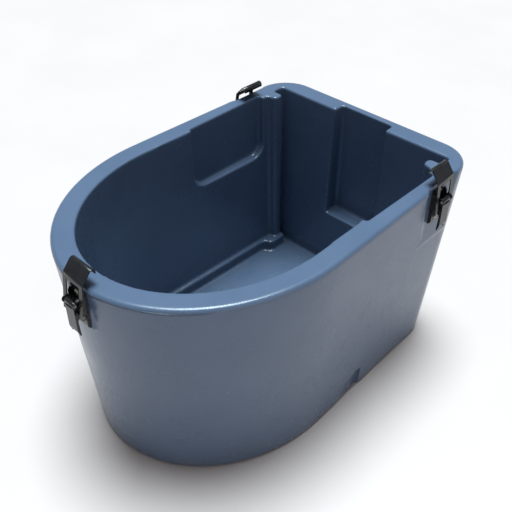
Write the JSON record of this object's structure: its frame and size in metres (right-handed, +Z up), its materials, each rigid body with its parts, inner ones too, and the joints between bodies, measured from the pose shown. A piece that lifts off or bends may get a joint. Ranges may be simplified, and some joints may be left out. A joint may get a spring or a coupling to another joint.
{
  "type": "livestock water trough",
  "caption": "D-shaped double-walled plastic stock water tub with ribs and pockets inside and over-centre draw latches round the rim for holding down a cover.",
  "frame": {"origin": "on the ground under the middle of the tub's length and width", "axes": "+X to the right side, -Y to the round front, +Y to the flat back, +Z up"},
  "size_m": [0.515, 0.7387, 0.4356],
  "materials": {
    "tub_plastic": "satin",
    "plug_plastic": "satin",
    "foam": "matte",
    "latch_steel": "satin",
    "pin_steel": "satin",
    "screw_steel": "satin",
    "brass_insert": "satin"
  },
  "bodies": {
    "tub": {"tub_shell": "tub_plastic", "foam_core": "foam", "fill_plug_front": "plug_plastic", "fill_plug_rear": "plug_plastic", "front_latch_base_bracket": "latch_steel", "front_latch_base_pin": "pin_steel", "front_latch_mounting_screws": "screw_steel", "front_latch_threaded_inserts": "brass_insert", "right_latch_base_bracket": "latch_steel", "right_latch_base_pin": "pin_steel", "right_latch_mounting_screws": "screw_steel", "right_latch_threaded_inserts": "brass_insert", "left_latch_base_bracket": "latch_steel", "left_latch_base_pin": "pin_steel", "left_latch_mounting_screws": "screw_steel", "left_latch_threaded_inserts": "brass_insert"},
    "front_lever": {"front_latch_lever": "latch_steel", "front_latch_link_pin": "pin_steel"},
    "front_claw": {"front_latch_claw": "latch_steel"},
    "right_lever": {"right_latch_lever": "latch_steel", "right_latch_link_pin": "pin_steel"},
    "right_claw": {"right_latch_claw": "latch_steel"},
    "left_lever": {"left_latch_lever": "latch_steel", "left_latch_link_pin": "pin_steel"},
    "left_claw": {"left_latch_claw": "latch_steel"}
  },
  "joints": [
    {"name": "front_lever_swing", "type": "hinge", "parent": "tub", "child": "front_lever", "pos_m": [0, -0.373, 0.376], "axis": [-1, 0, 0], "range_deg": [0, 150]},
    {"name": "front_claw_follow", "type": "hinge", "parent": "front_lever", "child": "front_claw", "pos_m": [0, -0.368, 0.357], "axis": [-1, 0, 0], "range_deg": [-150, 0]},
    {"name": "right_lever_swing", "type": "hinge", "parent": "tub", "child": "right_lever", "pos_m": [0.2515, 0.238, 0.376], "axis": [0, -1, 0], "range_deg": [0, 150]},
    {"name": "right_claw_follow", "type": "hinge", "parent": "right_lever", "child": "right_claw", "pos_m": [0.2465, 0.238, 0.357], "axis": [0, -1, 0], "range_deg": [-150, 0]},
    {"name": "left_lever_swing", "type": "hinge", "parent": "tub", "child": "left_lever", "pos_m": [-0.2515, 0.238, 0.376], "axis": [0, 1, 0], "range_deg": [0, 150]},
    {"name": "left_claw_follow", "type": "hinge", "parent": "left_lever", "child": "left_claw", "pos_m": [-0.2465, 0.238, 0.357], "axis": [0, 1, 0], "range_deg": [-150, 0]}
  ],
  "couplings": [
    {"joint": "front_claw_follow", "follows": "front_lever_swing", "ratio": -1},
    {"joint": "right_claw_follow", "follows": "right_lever_swing", "ratio": -1},
    {"joint": "left_claw_follow", "follows": "left_lever_swing", "ratio": -1}
  ]
}
